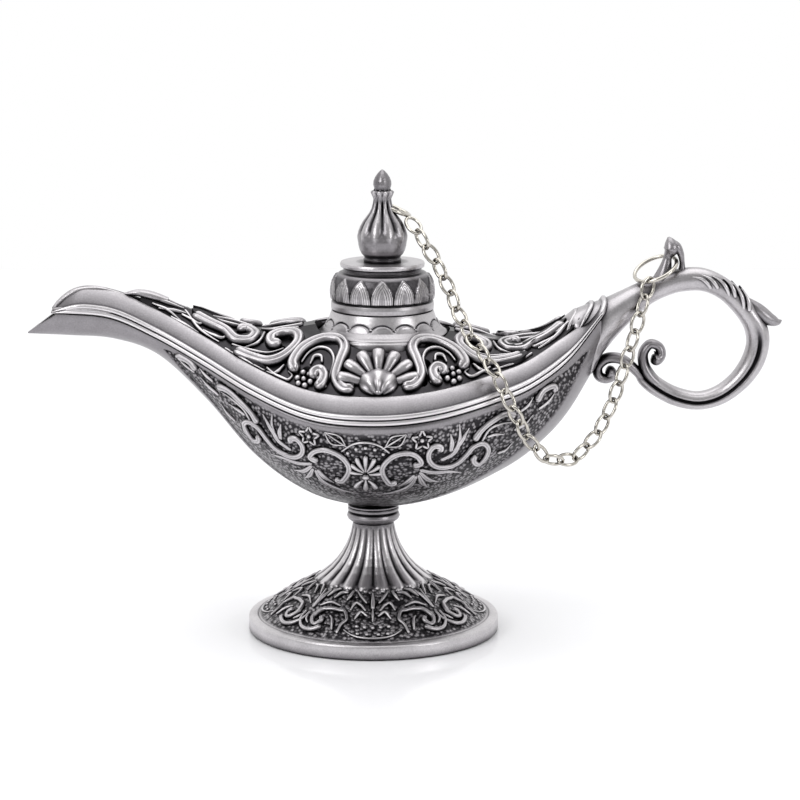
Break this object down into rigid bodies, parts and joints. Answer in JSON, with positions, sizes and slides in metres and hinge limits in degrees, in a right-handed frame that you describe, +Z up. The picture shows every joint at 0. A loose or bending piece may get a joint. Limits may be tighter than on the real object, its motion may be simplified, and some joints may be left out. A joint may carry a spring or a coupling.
{
  "type": "oil lamp",
  "caption": "Footed genie oil lamp: boat-shaped cast bowl with spout and ring handle, pierced cover, lift-off lid with finial, and a wire chain tying the lid to the handle.",
  "frame": {"origin": "centre of the foot's underside", "axes": "+X from the spout to the handle, +Z up along the foot, -Y towards the side the chain hangs on"},
  "size_m": [0.1399, 0.0506, 0.0869],
  "materials": {
    "antique_casting": "antique pewter plating, dark in the recesses and rubbed bright on the edges",
    "nickel_wire": "bright nickel-plated wire",
    "steel_screw": "plain steel"
  },
  "bodies": {
    "lamp": {"foot": "antique_casting", "stem_ring": "antique_casting", "foot_screw": "steel_screw", "bowl": "antique_casting", "rim_frame": "antique_casting", "pierced_cover": "antique_casting", "neck_collar": "antique_casting", "handle": "antique_casting"},
    "lid": {"lid_cap": "antique_casting", "finial": "antique_casting", "lid_ring": "nickel_wire"},
    "jump_ring": {"handle_jump_ring": "nickel_wire"},
    "link_01": {"chain_link_01": "nickel_wire"},
    "link_02": {"chain_link_02": "nickel_wire"},
    "link_03": {"chain_link_03": "nickel_wire"},
    "links_04_06": {"chain_link_04": "nickel_wire", "chain_link_05": "nickel_wire", "chain_link_06": "nickel_wire"},
    "links_07_09": {"chain_link_07": "nickel_wire", "chain_link_08": "nickel_wire", "chain_link_09": "nickel_wire"},
    "links_10_12": {"chain_link_10": "nickel_wire", "chain_link_11": "nickel_wire", "chain_link_12": "nickel_wire"},
    "link_30": {"chain_link_30": "nickel_wire"},
    "links_27_29": {"chain_link_27": "nickel_wire", "chain_link_28": "nickel_wire", "chain_link_29": "nickel_wire"},
    "links_25_26": {"chain_link_25": "nickel_wire", "chain_link_26": "nickel_wire"},
    "link_24": {"chain_link_24": "nickel_wire"},
    "link_23": {"chain_link_23": "nickel_wire"},
    "links_21_22": {"chain_link_21": "nickel_wire", "chain_link_22": "nickel_wire"},
    "links_18_20": {"chain_link_18": "nickel_wire", "chain_link_19": "nickel_wire", "chain_link_20": "nickel_wire"},
    "links_13_17": {"chain_link_13": "nickel_wire", "chain_link_14": "nickel_wire", "chain_link_15": "nickel_wire", "chain_link_16": "nickel_wire", "chain_link_17": "nickel_wire"}
  },
  "joints": [
    {"name": "lid_lift", "type": "slide", "parent": "lamp", "child": "lid", "axis": [0, 0, 1], "range_m": [0, 0.012]},
    {"name": "jump_ring_swing", "type": "hinge", "parent": "lamp", "child": "jump_ring", "pos_m": [0.056, 0, 0.07], "axis": [0.1196, -0.9467, -0.299], "range_deg": [-4.34, 1]},
    {"name": "link_01_swing", "type": "hinge", "parent": "jump_ring", "child": "link_01", "pos_m": [0.0509, -0.00337, 0.06653], "axis": [-0.8668, 0.4525, -0.2094], "range_deg": [-1, 20.09]},
    {"name": "link_02_swing", "type": "hinge", "parent": "link_01", "child": "link_02", "pos_m": [0.04994, -0.00417, 0.06346], "axis": [0.7901, 0.4852, -0.3745], "range_deg": [-23.79, 1]},
    {"name": "link_03_swing", "type": "hinge", "parent": "link_02", "child": "link_03", "pos_m": [0.04903, -0.00476, 0.06032], "axis": [0.5324, -0.8465, 0.0049], "range_deg": [-4.13, 1]},
    {"name": "links_04_06_swing", "type": "hinge", "parent": "link_03", "child": "links_04_06", "pos_m": [0.04812, -0.00521, 0.05715], "axis": [0.8023, 0.5153, -0.3014], "range_deg": [-1, 27.24]},
    {"name": "links_07_09_swing", "type": "hinge", "parent": "links_04_06", "child": "links_07_09", "pos_m": [0.0452, -0.00654, 0.04773], "axis": [0.5644, -0.8244, -0.0433], "range_deg": [-1, 3.33]},
    {"name": "links_10_12_swing", "type": "hinge", "parent": "links_07_09", "child": "links_10_12", "pos_m": [0.04115, -0.00942, 0.03915], "axis": [0.5894, 0.5416, -0.5994], "range_deg": [-1, 16.35]},
    {"name": "link_30_swing", "type": "hinge", "parent": "lid", "child": "link_30", "pos_m": [0.00669, 0.00068, 0.07774], "axis": [-0.8732, -0.4866, -0.0276], "range_deg": [-1, 3.1]},
    {"name": "links_27_29_swing", "type": "hinge", "parent": "link_30", "child": "links_27_29", "pos_m": [0.00803, -0.00161, 0.07575], "axis": [-0.3505, 0.6664, -0.6581], "range_deg": [-1, 2.93]},
    {"name": "links_25_26_swing", "type": "hinge", "parent": "links_27_29", "child": "links_25_26", "pos_m": [0.01288, -0.00546, 0.06798], "axis": [-0.7889, -0.6143, -0.0183], "range_deg": [-3.95, 1]},
    {"name": "link_24_swing", "type": "hinge", "parent": "links_25_26", "child": "link_24", "pos_m": [0.01518, -0.00869, 0.06267], "axis": [-0.8257, -0.5568, 0.0903], "range_deg": [-1, 19.32]},
    {"name": "link_23_swing", "type": "hinge", "parent": "link_24", "child": "link_23", "pos_m": [0.01629, -0.01072, 0.06028], "axis": [-0.3477, 0.5114, -0.7859], "range_deg": [-1, 26.27]},
    {"name": "links_21_22_swing", "type": "hinge", "parent": "link_23", "child": "links_21_22", "pos_m": [0.01757, -0.013, 0.05823], "axis": [-0.865, -0.4994, -0.0483], "range_deg": [-35.03, 1]},
    {"name": "links_18_20_swing", "type": "hinge", "parent": "links_21_22", "child": "links_18_20", "pos_m": [0.02061, -0.01765, 0.05461], "axis": [-0.7949, -0.6059, -0.0319], "range_deg": [-1, 10.09]},
    {"name": "links_13_17_swing", "type": "hinge", "parent": "links_18_20", "child": "links_13_17", "pos_m": [0.02495, -0.02078, 0.04657], "axis": [-0.7652, 0.6257, -0.1516], "range_deg": [-1, 3.28]}
  ],
  "couplings": [
    {"joint": "jump_ring_swing", "follows": "lid_lift", "rad_per_m": -4.8567},
    {"joint": "link_01_swing", "follows": "lid_lift", "rad_per_m": 27.759},
    {"joint": "link_02_swing", "follows": "lid_lift", "rad_per_m": -33.15},
    {"joint": "link_03_swing", "follows": "lid_lift", "rad_per_m": -4.5488},
    {"joint": "links_04_06_swing", "follows": "lid_lift", "rad_per_m": 38.16},
    {"joint": "links_07_09_swing", "follows": "lid_lift", "rad_per_m": 3.3843},
    {"joint": "links_10_12_swing", "follows": "lid_lift", "rad_per_m": 22.323},
    {"joint": "link_30_swing", "follows": "lid_lift", "rad_per_m": 3.0553},
    {"joint": "links_27_29_swing", "follows": "lid_lift", "rad_per_m": 2.8069},
    {"joint": "links_25_26_swing", "follows": "lid_lift", "rad_per_m": -4.2945},
    {"joint": "link_24_swing", "follows": "lid_lift", "rad_per_m": 26.648},
    {"joint": "link_23_swing", "follows": "lid_lift", "rad_per_m": 36.758},
    {"joint": "links_21_22_swing", "follows": "lid_lift", "rad_per_m": -49.494},
    {"joint": "links_18_20_swing", "follows": "lid_lift", "rad_per_m": 13.216},
    {"joint": "links_13_17_swing", "follows": "lid_lift", "rad_per_m": 3.3195}
  ]
}
